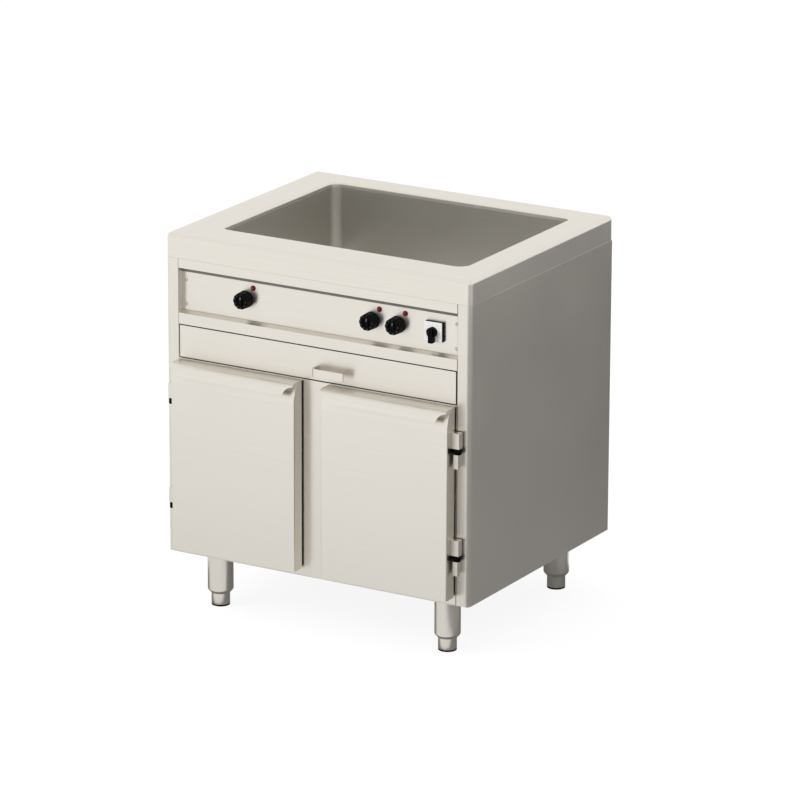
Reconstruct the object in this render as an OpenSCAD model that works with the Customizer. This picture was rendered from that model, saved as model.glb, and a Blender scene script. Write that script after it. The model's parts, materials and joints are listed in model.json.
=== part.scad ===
// Free-standing hot cupboard with a water well in its worktop, two insulated doors and a shallow drawer.
// Millimetres. Each piece is drawn with y = 0 on the cabinet's front plane and z = 0 on its underside,
// and placed() then stands the cabinet on its legs, centred on the floor.

/* [Cabinet] */
// Width over the side panels
cab_w = 800; // [760:10:1200]
// Depth of the worktop, front to back
cab_d = 658; // [628:2:760]
// Height from the underside of the cabinet to the worktop
cab_h = 760; // [720:10:850]
// Overhang of the worktop past the back panel
back_over = 4; // [2:1:12]
// Thickness of the cabinet sheet
sheet = 1.5; // [1.2:0.1:2]
// Outer radius of the folds on the inner edges of the posts
bend_r = 3; // [2.5:0.5:4]
// Width of the front post folded from each side panel
post_w = 34; // [32:1:44]
// Depth of the service space behind the cupboard liner
service_d = 90; // [84:1:120]

/* [Worktop] */
// Height of the apron round the worktop
apron_h = 57; // [46:1:64]
// Thickness of the worktop sheet
top_sheet = 2; // [1.5:0.1:2.5]
// Radius of the top edge
edge_r = 10; // [7:0.5:10.5]
// Radius of the corners of worktop and posts, seen from above
corner_r = 11; // [11:0.5:13]
// Width of the rim on each side of the well
rim_side = 81; // [72:1:100]
// Width of the rim in front of the well
rim_front = 95; // [90:1:125]
// Width of the rim behind the well
rim_back = 67; // [58:1:80]
// Sideways place of the well from the middle of the worktop
well_off = 8; // [-12:1:12]

/* [Water well] */
// Depth of the well below the worktop
well_depth = 180; // [140:1:186]
// Corner radius of the well
well_r = 25; // [22:1:40]
// Radius between the walls and the floor of the well
well_floor_r = 15; // [10:1:18]
// Radius of the rounded edge round the well
well_edge_r = 6; // [4:0.5:8]
// Height of the worktop's downturned edge, where the basin is welded on
well_weld = 12; // [10:1:20]
// Thickness of the basin sheet
well_sheet = 1.5; // [1.2:0.1:2]
// Distance of the drain from the back and side walls of the well
drain_in = 90; // [80:1:100]
// Outer radius of the drain pipe
drain_r = 17; // [14:0.5:18]
// Length of the drain's hose tail and collar below the cabinet
drain_stub = 45; // [30:1:60]

/* [Control panel] */
// Height of the header rail above the controls
header_h = 22; // [18:1:30]
// Height of the control recess
recess_h = 106; // [102:1:125]
// Height of the shadow gap between the header rail and the control panel
panel_gap = 11.5; // [8:0.5:14]
// Depth of the control recess
recess_depth = 16.5; // [14:0.5:20]
// Height of the sill rail under the controls
sill_h = 26; // [20:1:34]
// Rise of the sill from its front edge to the panel
sill_rise = 5; // [3:1:9]
// Height of the knob axes above the front edge of the sill
knob_up = 53; // [50:1:58]
// Distance of the well knob from the left post
well_knob_in = 170; // [120:1:220]
// Distance of the main switch from the right post
switch_in = 66; // [50:1:72]
// Distance from the main switch to the nearer cupboard knob
switch_to_knob = 97; // [80:1:120]
// Distance between the two cupboard knobs
knob_pitch = 67; // [62:1:90]
// Radius of a knob at its base
knob_r = 20; // [18:0.5:22]
// Depth of a knob
knob_depth = 24; // [20:1:30]
// Radius of the thermostat spindles
spindle_r = 3; // [2.5:0.1:4]
// Sideways distance from a knob axis to its pilot light
pilot_dx = 20; // [18:1:24]
// Height of a pilot light above the knob axis
pilot_dz = 28.5; // [26:0.5:30]
// Radius of a pilot light's lens
pilot_r = 5; // [4:0.5:6]
// Side of the square switch plate
switch_side = 45; // [42:1:50]
// Height of the switch box above the panel
switch_out = 8; // [6:0.5:12]
// Radius of the switch lever's disc
lever_r = 12; // [11:0.5:15]
// Reach of the switch lever below its axis
lever_reach = 23.5; // [20:0.5:30]
// Width of the switch lever
lever_w = 11; // [9:0.5:16]
// Height of the lever over the switch plate
lever_out = 13; // [12:0.5:18]

/* [Drawer] */
// Height of the drawer's opening
drawer_h = 80; // [70:1:100]
// Gap round the drawer front
drawer_gap = 2.5; // [1.5:0.5:4]
// Depth of the drawer box
drawer_depth = 420; // [380:5:440]
// Length of the handle's flat bar
handle_w = 72; // [60:1:120]
// Height of the handle's bar
handle_h = 19; // [16:1:24]
// Thickness of the handle's bar
handle_t = 4; // [3:0.5:5]
// Projection of the handle from the drawer front
handle_out = 26; // [20:1:30]
// Outer radius of the handle's rolled end
handle_bend = 15; // [12:0.5:16]
// Sideways place of the handle from the middle of the drawer
handle_off = 50; // [-100:1:100]
// Height of the handle above the lower edge of the drawer opening
handle_up = 17; // [12:1:30]

/* [Doors] */
// Height of the face frame's strip between drawer and doors
strip_h = 2; // [2:1:20]
// Height of the face frame's strip under the doors
door_foot = 20; // [16:1:40]
// Width of the mullion between the doors
mullion_w = 70; // [60:1:100]
// Gap between a door and the edge of its post
door_side = 2; // [1:0.5:4]
// Thickness of a door
door_t = 33; // [28:1:38]
// Thickness of the seal between a door and the face frame
seal_t = 5; // [4:0.5:8]
// Width of the seal
seal_w = 9; // [6:1:10]
// Overlap of a door on the face frame round its opening
door_lap = 14; // [13:1:18]
// Height over which the top of a door rolls back
roll_h = 51; // [40:1:80]
// Depth by which the top of a door rolls back
roll_d = 13; // [8:1:18]
// Thickness of the door sheet
door_sheet = 1.2; // [1:0.1:1.5]
// Flat width of the pull lip on top of a door
lip_flat = 24; // [20:1:28]
// Outer radius of the pull lip's curl
lip_r = 25; // [20:1:30]
// Height of the straight edge under the curl
lip_edge = 3; // [2:1:8]
// Thickness of the pull lip
lip_sheet = 1.5; // [1.2:0.1:2]
// Radius of the round notch at each end of the lip
lip_notch = 21; // [12:1:24]

/* [Hinges] */
// Distance of the hinge axis from the outside of the cabinet
hinge_in = 24.5; // [22:0.5:25]
// Width of the door leaf
hinge_w = 17; // [15:0.5:18]
// Depth of the door leaf
hinge_d = 16; // [14:0.5:17]
// Height of the door leaf
hinge_top_h = 36.5; // [30:0.5:45]
// Height of the washer between the leaves
hinge_ring_h = 13; // [8:0.5:16]
// Radius of the washer
hinge_ring_r = 10; // [8:0.5:11]
// Height of the frame leaf
hinge_low_h = 33; // [28:0.5:45]
// Width of the frame leaf
hinge_low_w = 12; // [10:0.2:16]
// Radius of the hinge pin
pin_r = 4; // [3:0.5:5]
// Distance of a hinge's washer from the lower end of the door
hinge_low_at = 97; // [80:1:130]
// Distance of a hinge's washer from the upper end of the door
hinge_high_at = 98; // [80:1:130]

/* [Cupboard] */
// Thickness of the liner sheet
liner_sheet = 1; // [0.8:0.1:1.5]
// Height of the heater cover above the floor of the liner
cover_h = 32; // [26:1:45]
// Radius of the heating elements
element_r = 4.25; // [3.5:0.25:5]
// Distance between the two legs of a heating element
element_pitch = 90; // [60:1:110]

/* [Legs] */
// Height of the cabinet above the floor
leg_h = 137; // [130:1:170]
// Radius of the upper tube
leg_r = 30; // [26:0.5:32]
// Wall of the upper tube
leg_wall = 1.5; // [1.2:0.1:2]
// Distance of the leg axes from the cabinet's sides
leg_in_x = 96; // [60:1:120]
// Distance of the leg axes from the cabinet's front and back
leg_in_y = 73; // [60:1:100]
// Radius of the foot
foot_r = 21.5; // [18:0.5:22]
// Length of the foot that shows, with its pad
foot_show = 31; // [24:1:40]
// Height of the necked end of the upper tube
neck_h = 10; // [6:1:14]
// Thickness of the foot pad
pad_h = 4; // [3:0.5:6]
// Radius of the threaded stem of the foot
stem_r = 8; // [6:0.5:10]
// How far a foot can be screwed out
foot_travel = 30; // [15:1:35]

/* [Clearances] */
// Running clearance of pins, spindles and stems
run_play = 0.05; // [0.02:0.01:0.08]
// Gap between parts that pass or rest close to each other
near_gap = 0.35; // [0.3:0.05:0.5]

/* [Hidden] */
$fn = 64;

steel = [0.82, 0.80, 0.77];
inner_steel = [0.70, 0.69, 0.67];
black = [0.05, 0.05, 0.05];
white = [0.95, 0.95, 0.93];
red = [0.55, 0.02, 0.10];
wool = [0.78, 0.72, 0.50];
rubber = [0.12, 0.11, 0.10];

// Levels on the front, from the worktop down
apron_z = cab_h - apron_h;
recess_top = apron_z - header_h;
recess_low = recess_top - recess_h;
drawer_top = recess_low - sill_h;
drawer_low = drawer_top - drawer_h;
door_top = drawer_low - strip_h - lip_sheet;
door_h = door_top - door_foot;

// Places across and along the cabinet
half_w = cab_w / 2;
post_x = half_w - post_w;
back_y = cab_d - back_over;
side_in = half_w - sheet;
post_return = recess_depth + sheet;
rear_flange = 20;
rail_return = 20;
vent_down = 80;
vent_rows = [6, 3];
vent_h = 60;
vent_l = 44;
vent_w = 5;

// Doors, mirrored about the middle
door_in_x = mullion_w / 2;
door_out_x = post_x - door_side;
door_w = door_out_x - door_in_x;
door_mid_x = (door_in_x + door_out_x) / 2;
door_back = -seal_t;
door_front = door_back - door_t;
door_round = 3;
seal_in = 2;
lip_clear = 1;
lip_front = door_back - lip_flat - lip_r;
front_most = min(lip_front, -handle_out);

// Hinges: the axis stands far enough out for the leaf's corners to clear the post
hinge_x = half_w - hinge_in;
hinge_y = -norm([hinge_w, hinge_d]) / 2 - near_gap;
hinge_levels = [door_foot + hinge_low_at, door_top - hinge_high_at];
pin_in_leaf = 25;
leaf_round = 8;

// Cupboard behind the face frame
open_in_x = door_in_x + door_lap;
open_out_x = door_out_x - door_lap;
open_low = door_foot + door_lap;
open_top = door_top - door_lap;
frame_return = 18;
liner_gap = 0.5;
liner_x = open_out_x + sheet + liner_gap;
liner_low = open_low - sheet - liner_gap;
liner_top = open_top + sheet + liner_gap;
liner_back = back_y - service_d;
shelf_z = (liner_low + cover_h + liner_top) / 2;
shelf_sheet = 1.2;
shelf_fold = 18;
shelf_side = 2;
ledge_w = 16;
ledge_t = 1.5;
shelf_inset = 14;
shelf_front = frame_return + shelf_inset;
shelf_back = liner_back - shelf_fold / 3;
shelf_half = liner_x - shelf_side;
slot_l = 70;
slot_w = 8;
slot_rows = [6, 5];
element_z = liner_low + cover_h / 2;
element_front = 90;
element_tail = 22;
element_hole_r = element_r + near_gap;
element_xs = [
  for (side = [-1, 1], leg = [-1, 1])
    side * liner_x / 2 + leg * element_pitch / 2
];
back_slab = 24;

// Plates of the legs, which the drain and the cable gland keep clear of
leg_plate = 86;
plate_gap = 5;

// Water well
well_w = cab_w - 2 * rim_side;
well_l = cab_d - rim_front - rim_back;
well_y = rim_front + well_l / 2;
well_floor = cab_h - well_depth;
drain_collar_w = 5;
drain_collar_h = 8;
drain_collar_r = drain_r + drain_collar_w;
drain_step = 1;
tail_r = drain_r - drain_step;
drain_x = min(
  well_off + well_w / 2 - drain_in,
  half_w - leg_in_x - leg_plate / 2 - drain_collar_r - plate_gap
);
drain_y = well_y + well_l / 2 - drain_in;
drain_wall = 1.5;
flange_w = 11;
flange_r = drain_r + flange_w;
flange_t = 2;
tail_h = 26;
nut_w = 7;
nut_r = drain_r + nut_w;
nut_h = 8;
pipe_y = back_y - sheet - rear_flange - drain_r;
pipe_bend = 32;
serpent_gap = 12;
serpent_pitch = (well_l / 2 - drain_in - nut_r - element_r - serpent_gap) / 1.5;
serpent_half = well_w / 2 - drain_in;
terminal_r = 2;
terminal_l = 18;

// Controls
panel_y = recess_depth;
panel_back = recess_depth + sheet;
panel_low = recess_low + sill_rise;
knob_z = recess_low + knob_up;
switch_x = post_x - switch_in;
right_knob_x = switch_x - switch_to_knob;
left_knob_x = right_knob_x - knob_pitch;
well_knob_x = -post_x + well_knob_in;
knob_xs = [well_knob_x, left_knob_x, right_knob_x];
knob_skirt = 4;
knob_taper = 2;
knob_flutes = 10;
flute_r = 5;
flute_bite = 1.1;
knob_dish = 3;
grip_w = 9;
grip_gap = 7;
spindle_in_knob = 14;
spindle_in_body = 30;
thermostat = [40, 44, 36];
collar_r = 9;
collar_h = 3;
pilot_flange = 1.5;
pilot_body = 24;
switch_neck_r = 14;
switch_block = [40, 44, 40];
plate_t = 2;
plate_y = panel_y - switch_out - plate_t;
lever_disc_t = 9;
lever_stem_r = 5;
lever_stem_l = 22;
screw_in = 10;
screw_up = 19;
screw_down = 29;
screw_r = 2;
screw_head_r = 3.6;
screw_head_h = 1.6;
screw_l = 9;

// Drawer
front_deep = 18;
box_side = 16;
box_x = post_x - box_side;
box_lift = 4;
box_drop = 8;
box_low = drawer_low + drawer_gap + box_lift;
box_top = drawer_top - drawer_gap - box_drop;
box_sheet = 1;
rail_h = 10;
rail_up = 18;
rail_z = box_low + rail_up;
rail_out = box_side - drawer_gap;
rail_y = front_deep + box_lift;
runner_back = front_deep + drawer_depth + box_lift;
handle_x = handle_off - handle_w / 2;
handle_z = drawer_low + handle_up;
handle_leg_in = 22;
handle_leg_h = 7;

// Legs
leg_places = [
  [-half_w + leg_in_x, leg_in_y],
  [half_w - leg_in_x, leg_in_y],
  [-half_w + leg_in_x, back_y - leg_in_y],
  [half_w - leg_in_x, back_y - leg_in_y]
];
leg_plate_t = 3;
foot_play = 0.4;
neck_wall = 1;
neck_low = -leg_h + foot_show;
neck_top = neck_low + neck_h;
nut_plate_t = 8;
sleeve_hold = 2;
foot_top = neck_top + foot_travel + sleeve_hold;
foot_floor_t = 3;
foot_wall = 1.5;
stem_spare = 6;
stem_top = foot_top + near_gap + nut_plate_t + foot_travel + stem_spare;
gland_r = 10;
gland_nut_r = 15;
gland_cap_r = 12;
gland_drop = 22;
gland_bore = 5;
gland_x = -drain_x;

// Stands the cabinet on the floor with the middle of its plan at the origin
module placed()
  translate([0, -(cab_d + front_most) / 2, leg_h])
    children();

// Draws a shape once on the right and once mirrored on the left
module both_sides() {
  children();
  mirror([1, 0, 0])
    children();
}

// Runs a profile of (y, z) along x, centred on x = 0
module run_x(length)
  translate([-length / 2, 0, 0])
    rotate([90, 0, 90])
      linear_extrude(length)
        children();

// A round bar along y
module rod_y(x, z, y0, y1, r)
  translate([x, y1, z])
    rotate([90, 0, 0])
      cylinder(h = y1 - y0, r = r);

// A box between two corners
module block(low, high)
  translate(low)
    cube(high - low);

// A quarter of a disc or of a ring in the first quadrant
module quarter(r, hole = 0)
  intersection() {
    difference() {
      circle(r);
      if (hole > 0)
        circle(hole);
    }
    square(r);
  }

// A rectangle with round corners, centred
module round_rect(w, d, r) {
  square([w - 2 * r, d], center = true);
  for (s = [-1, 1])
    translate([s * (w / 2 - r / 2), 0])
      square([r, d - 2 * r], center = true);
  for (turn = [0, 90, 180, 270])
    translate([
      (turn == 0 || turn == 270 ? 1 : -1) * (w / 2 - r),
      (turn < 180 ? 1 : -1) * (d / 2 - r)
    ])
      rotate(turn)
        quarter(r);
}

// Sweeps a profile of (distance from the corner centres, z) round a rectangle with round corners
module ring(w, d, r) {
  cx = w / 2 - r;
  cy = d / 2 - r;
  for (turn = [0, 180])
    rotate(turn) {
      translate([cx, cy, 0])
        rotate_extrude(angle = 90)
          children();
      translate([-cx, cy, 0])
        rotate(90)
          rotate_extrude(angle = 90)
            children();
      translate([cx, cy, 0])
        rotate([90, 0, 0])
          linear_extrude(2 * cy)
            children();
      translate([-cx, cy, 0])
        rotate([90, 0, 90])
          linear_extrude(2 * cx)
            children();
    }
}

// A block of the given width and height below z = 0 whose outer top edge is round
module soft_block(w, h, r) {
  translate([0, -h])
    square([w, h - r]);
  translate([0, -r])
    square([w - r, r]);
  translate([w - r, -r])
    quarter(r);
}

// Cross-section of the worktop's edge and apron
module apron_profile()
  difference() {
    soft_block(corner_r, apron_h, edge_r);
    translate([0, -top_sheet])
      soft_block(corner_r - top_sheet, apron_h, edge_r - top_sheet);
  }

// Cross-section of the worktop's edge round the well
module well_edge_profile() {
  translate([well_r + well_edge_r, -well_edge_r])
    rotate(90)
      quarter(well_edge_r, well_edge_r - top_sheet);
  translate([well_r, -well_weld])
    square([top_sheet, well_weld - well_edge_r]);
}

module worktop()
  placed() color(steel)
    translate([0, 0, cab_h]) {
      translate([0, cab_d / 2, 0])
        ring(cab_w, cab_d, corner_r)
          apron_profile();
      translate([0, 0, -top_sheet])
        linear_extrude(top_sheet)
          difference() {
            translate([0, cab_d / 2])
              square([cab_w - 2 * corner_r, cab_d - 2 * corner_r], center = true);
            translate([well_off, well_y])
              round_rect(well_w + 2 * well_edge_r, well_l + 2 * well_edge_r, well_r + well_edge_r);
          }
      translate([well_off, well_y, 0])
        ring(well_w, well_l, well_r)
          well_edge_profile();
    }

// Cross-section of the basin's wall and floor curve
module basin_profile() {
  translate([well_r, -well_depth + well_floor_r])
    square([well_sheet, well_depth - well_floor_r - well_weld]);
  translate([well_r - well_floor_r, -well_depth + well_floor_r])
    rotate(270)
      quarter(well_floor_r + well_sheet, well_floor_r);
}

module well_basin()
  placed() color(inner_steel)
    difference() {
      translate([well_off, well_y, cab_h]) {
        ring(well_w, well_l, well_r)
          basin_profile();
        translate([0, 0, -well_depth - well_sheet])
          linear_extrude(well_sheet)
            round_rect(well_w - 2 * well_floor_r, well_l - 2 * well_floor_r, well_r - well_floor_r);
      }
      translate([drain_x, drain_y, well_floor - 2 * well_sheet])
        cylinder(h = 3 * well_sheet, r = drain_r + run_play);
    }

// Waste fitting: flange in the well, tail through the floor, lock nut under it
module drain_flange()
  placed() color(inner_steel)
    translate([drain_x, drain_y, well_floor]) {
      difference() {
        union() {
          cylinder(h = flange_t, r = flange_r);
          translate([0, 0, -tail_h])
            cylinder(h = tail_h, r = drain_r);
        }
        translate([0, 0, -2 * tail_h])
          cylinder(h = 3 * tail_h, r = drain_r - drain_wall);
      }
      translate([0, 0, -well_sheet - nut_h])
        difference() {
          cylinder(h = nut_h, r = nut_r, $fn = 6);
          translate([0, 0, -nut_h])
            cylinder(h = 3 * nut_h, r = drain_r);
        }
    }

// Cross-section of the drain pipe
module pipe_section()
  difference() {
    circle(drain_r);
    circle(drain_r - drain_wall);
  }

// Down from the waste fitting, back over the cupboard, down behind it to a collar and hose tail
module drain_pipe()
  placed() color(inner_steel)
    translate([drain_x, 0, 0]) {
      top = well_floor - tail_h;
      level = top - pipe_bend;
      foot = level - pipe_bend;
      translate([0, drain_y + pipe_bend, top])
        rotate([90, 0, 90])
          rotate(180)
            rotate_extrude(angle = 90)
              translate([pipe_bend, 0])
                pipe_section();
      translate([0, pipe_y - pipe_bend, level])
        rotate([90, 0, 0])
          linear_extrude(pipe_y - drain_y - 2 * pipe_bend)
            pipe_section();
      translate([0, pipe_y - pipe_bend, foot])
        rotate([90, 0, 90])
          rotate_extrude(angle = 90)
            translate([pipe_bend, 0])
              pipe_section();
      translate([0, pipe_y, 0]) {
        linear_extrude(foot)
          pipe_section();
        difference() {
          union() {
            translate([0, 0, -drain_collar_h])
              cylinder(h = drain_collar_h, r = drain_collar_r);
            translate([0, 0, -drain_stub])
              cylinder(h = drain_stub, r = tail_r);
          }
          translate([0, 0, -2 * drain_stub])
            cylinder(h = 3 * drain_stub, r = tail_r - drain_wall);
        }
      }
    }

// Tubular element that snakes under the floor of the well
module well_heater()
  placed() color(inner_steel)
    translate([well_off, well_y, well_floor - well_sheet - element_r - near_gap]) {
      for (row = [-1.5, -0.5, 0.5, 1.5])
        translate([-serpent_half, row * serpent_pitch, 0])
          rotate([0, 90, 0])
            cylinder(h = 2 * serpent_half, r = element_r);
      for (bend = [[-1, 1, -90], [0, -1, 90], [1, 1, -90]])
        translate([bend[1] * serpent_half, bend[0] * serpent_pitch, 0])
          rotate(bend[2])
            rotate_extrude(angle = 180)
              translate([serpent_pitch / 2, 0])
                circle(element_r);
      for (row = [-1.5, 1.5])
        translate([-serpent_half - terminal_l, row * serpent_pitch, 0])
          rotate([0, 90, 0])
            cylinder(h = terminal_l, r = terminal_r);
    }

// Plan of a side panel: outer sheet, folded front post with its return, rear flange
module side_plan() {
  translate([half_w - corner_r, corner_r])
    rotate(270)
      quarter(corner_r, corner_r - sheet);
  translate([post_x + bend_r, bend_r])
    rotate(180)
      quarter(bend_r, bend_r - sheet);
  translate([post_x + bend_r, 0])
    square([post_w - bend_r - corner_r, sheet]);
  translate([post_x, bend_r])
    square([sheet, post_return - bend_r]);
  translate([side_in, corner_r])
    square([sheet, back_y - corner_r]);
  translate([side_in - rear_flange, back_y - 2 * sheet])
    square([rear_flange, sheet]);
}

module right_side_panel()
  placed() color(steel)
    linear_extrude(apron_z)
      side_plan();

module left_side_panel()
  placed() color(steel)
    mirror([1, 0, 0])
      linear_extrude(apron_z)
        side_plan();

// Back sheet with rows of vent slots near the top
module back_panel()
  placed() color(steel)
    difference() {
      block([-side_in, back_y - sheet, sheet], [side_in, back_y, apron_z]);
      translate([0, 2 * back_y, apron_z - vent_down])
        rotate([90, 0, 0])
          linear_extrude(2 * back_y)
            slots(vent_rows.x, vent_rows.y, side_in, vent_h, vent_l, vent_w);
    }

// Base sheet with holes for the drain and the cable
module base_panel()
  placed() color(steel)
    difference() {
      tray_front = post_return;
      tray_back = back_y - 2 * sheet;
      union() {
        block([-side_in, tray_front, 0], [side_in, tray_back, sheet]);
        block([-side_in + rear_flange, tray_back, 0], [side_in - rear_flange, back_y, sheet]);
        block([-post_x, 0, 0], [post_x, tray_front, sheet]);
      }
      translate([drain_x, pipe_y, -sheet])
        cylinder(h = 3 * sheet, r = drain_r + near_gap);
      translate([gland_x, pipe_y, -sheet])
        cylinder(h = 3 * sheet, r = gland_r + run_play);
    }

// Angle section above the controls
module header_rail()
  placed() color(steel)
    run_x(2 * post_x)
      union() {
        translate([0, recess_top])
          square([sheet, header_h]);
        translate([sheet, recess_top])
          square([post_return - sheet, sheet]);
      }

// Recessed plate that carries the controls
module control_panel()
  placed() color(steel)
    difference() {
      block([-post_x, panel_y, panel_low], [post_x, panel_back, recess_top - panel_gap]);
      for (x = knob_xs) {
        rod_y(x, knob_z, 0, 2 * panel_back, spindle_r + near_gap);
        rod_y(x + pilot_dx, knob_z + pilot_dz, 0, 2 * panel_back, pilot_r + run_play);
      }
      rod_y(switch_x, knob_z, 0, 2 * panel_back, switch_neck_r + run_play);
      for (x = [-1, 1], z = [recess_low + screw_up, recess_top - screw_down])
        rod_y(x * (post_x - screw_in), z, 0, 2 * panel_back, screw_r + run_play);
    }

// Sill below the controls: front face, slope up to the panel, flange over the drawer
module sill_rail()
  placed() color(steel)
    run_x(2 * post_x)
      polygon([
        [rail_return, drawer_top],
        [0, drawer_top],
        [0, recess_low],
        [post_return, panel_low],
        [post_return, panel_low - sheet],
        [sheet, recess_low - sheet],
        [sheet, drawer_top + sheet],
        [rail_return, drawer_top + sheet]
      ]);

module panel_screws()
  placed() color(inner_steel)
    for (x = [-1, 1], z = [recess_low + screw_up, recess_top - screw_down]) {
      rod_y(x * (post_x - screw_in), z, panel_y - screw_head_h, panel_y, screw_head_r);
      rod_y(x * (post_x - screw_in), z, panel_y, panel_y + screw_l, screw_r);
    }

// Domed red lens with its flange, and the lamp body behind the panel
module pilot_lights()
  placed() color(red)
    for (x = knob_xs)
      translate([x + pilot_dx, panel_y, knob_z + pilot_dz])
        rotate([90, 0, 0])
          rotate_extrude() {
            translate([0, -pilot_body])
              square([pilot_r, pilot_body]);
            square([pilot_r + pilot_flange, pilot_flange]);
            translate([0, pilot_flange])
              quarter(pilot_r);
          }

// Thermostat bodies behind the panel, each with a collar that carries the spindle
module thermostats()
  placed() color(inner_steel)
    for (x = knob_xs)
      difference() {
        union() {
          rod_y(x, knob_z, panel_back, panel_back + collar_h, collar_r);
          translate([x - thermostat.x / 2, panel_back + collar_h, knob_z - thermostat.z / 2])
            cube(thermostat);
        }
        rod_y(x, knob_z, 0, panel_back + spindle_in_body + near_gap, spindle_r + run_play);
      }

// Rotary switch: square box on the panel, neck through it, contact block behind
module switch_box()
  placed() color(black)
    difference() {
      union() {
        block(
          [switch_x - switch_side / 2, panel_y - switch_out, knob_z - switch_side / 2],
          [switch_x + switch_side / 2, panel_y, knob_z + switch_side / 2]
        );
        rod_y(switch_x, knob_z, panel_y, panel_back, switch_neck_r);
        translate([switch_x - switch_block.x / 2, panel_back, knob_z - switch_block.z / 2])
          cube(switch_block);
      }
      rod_y(switch_x, knob_z, 0, plate_y + plate_t + lever_stem_l, lever_stem_r + run_play);
    }

module switch_plate()
  placed() color(white)
    difference() {
      block(
        [switch_x - switch_side / 2, plate_y, knob_z - switch_side / 2],
        [switch_x + switch_side / 2, plate_y + plate_t, knob_z + switch_side / 2]
      );
      rod_y(switch_x, knob_z, 0, panel_y, lever_stem_r + near_gap);
    }

// Disc, downward lever and stem, turning about the switch axis
module switch_lever()
  placed() color(black) {
    disc_back = plate_y - near_gap;
    rod_y(switch_x, knob_z, disc_back - lever_disc_t, disc_back, lever_r);
    rod_y(switch_x, knob_z, disc_back, plate_y + plate_t + lever_stem_l - near_gap, lever_stem_r);
    block(
      [switch_x - lever_w / 2, disc_back - lever_out, knob_z - lever_reach],
      [switch_x + lever_w / 2, disc_back, knob_z]
    );
    intersection() {
      rod_y(switch_x, knob_z, disc_back - lever_out, disc_back, lever_r);
      block(
        [switch_x - lever_w / 2, disc_back - lever_out, knob_z],
        [switch_x + lever_w / 2, disc_back, knob_z + lever_r]
      );
    }
  }

// Fluted knob with a skirt, a dished face and a grip bar across it
module knob(x)
  placed() color(black) {
    skirt_back = panel_y - near_gap;
    face = skirt_back - knob_depth;
    translate([x, skirt_back, knob_z])
      rotate([90, 0, 0]) {
        difference() {
          union() {
            cylinder(h = knob_skirt, r = knob_r);
            translate([0, 0, knob_skirt])
              cylinder(h = knob_depth - knob_skirt, r1 = knob_r, r2 = knob_r - knob_taper);
          }
          for (flute = [0 : knob_flutes - 1])
            rotate(360 / knob_flutes * (flute + 0.5))
              translate([knob_r + flute_r - flute_bite - knob_taper / 2, 0, knob_skirt])
                cylinder(h = knob_depth, r = flute_r);
          difference() {
            translate([0, 0, knob_depth - knob_dish])
              cylinder(h = 2 * knob_dish, r = knob_r - knob_taper - grip_gap);
            translate([-grip_w / 2, -knob_r, 0])
              cube([grip_w, 2 * knob_r, knob_depth]);
          }
          translate([0, 0, -knob_skirt])
            cylinder(h = knob_skirt + spindle_in_knob, r = spindle_r + run_play);
        }
      }
  }

// Steel spindle between a knob and its thermostat
module spindle(x)
  placed() color(inner_steel)
    rod_y(x, knob_z, panel_y - near_gap - spindle_in_knob, panel_back + spindle_in_body, spindle_r);

module well_knob() knob(well_knob_x);
module left_knob() knob(left_knob_x);
module right_knob() knob(right_knob_x);
module well_spindle() spindle(well_knob_x);
module left_spindle() spindle(left_knob_x);
module right_spindle() spindle(right_knob_x);

// Face frame with a returned opening for each door and a flange under the drawer
module door_frame()
  placed() color(steel)
    difference() {
      union() {
        block([-post_x, 0, sheet], [post_x, sheet, drawer_low]);
        block([-post_x, sheet, drawer_low - sheet], [post_x, rail_return, drawer_low]);
        both_sides()
          block(
            [open_in_x - sheet, sheet, open_low - sheet],
            [open_out_x + sheet, frame_return, open_top + sheet]
          );
      }
      both_sides()
        block([open_in_x, -sheet, open_low], [open_out_x, 2 * frame_return, open_top]);
    }

// Welded box behind the face frame, open at the front
module cupboard_liner()
  placed() color(inner_steel)
    difference() {
      block(
        [-liner_x - liner_sheet, sheet, liner_low - liner_sheet],
        [liner_x + liner_sheet, liner_back + liner_sheet, liner_top + liner_sheet]
      );
      block([-liner_x, 0, liner_low], [liner_x, liner_back, liner_top]);
      for (x = element_xs)
        rod_y(x, element_z, liner_back - liner_sheet, liner_back + 2 * liner_sheet, element_hole_r);
    }

// Mineral wool slabs at the sides, behind and under the liner
module insulation()
  placed() color(wool) {
    slab_front = post_return + near_gap;
    out_x = liner_x + liner_sheet;
    out_low = liner_low - liner_sheet;
    both_sides()
      block([out_x, slab_front, out_low], [side_in, liner_back, liner_top]);
    block([-out_x, slab_front, sheet], [out_x, liner_back, out_low]);
    difference() {
      slab_y = liner_back + liner_sheet;
      block([-out_x, slab_y, out_low], [out_x, slab_y + back_slab, liner_top]);
      for (x = element_xs)
        rod_y(x, element_z, slab_y - back_slab, slab_y + 2 * back_slab, element_hole_r);
    }
  }

// Slotted pattern cut through a flat plate
module slots(x_count, y_count, x_span, y_span, length, width)
  for (i = [0 : x_count - 1], j = [0 : y_count - 1])
    translate([
      (i - (x_count - 1) / 2) * x_span / x_count,
      (j - (y_count - 1) / 2) * y_span / y_count
    ])
      square([length, width], center = true);

// Slotted shelf with folded front and back edges
module shelf()
  placed() color(inner_steel) {
    depth = shelf_back - shelf_front;
    translate([0, (shelf_front + shelf_back) / 2, shelf_z])
      linear_extrude(shelf_sheet)
        difference() {
          square([2 * shelf_half, depth], center = true);
          slots(slot_rows.x, slot_rows.y, 2 * (shelf_half - ledge_w), depth - shelf_fold, slot_l, slot_w);
        }
    for (y = [shelf_front, shelf_back - shelf_sheet])
      translate([-shelf_half + ledge_w, y, shelf_z - shelf_fold])
        cube([2 * (shelf_half - ledge_w), shelf_sheet, shelf_fold]);
  }

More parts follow.
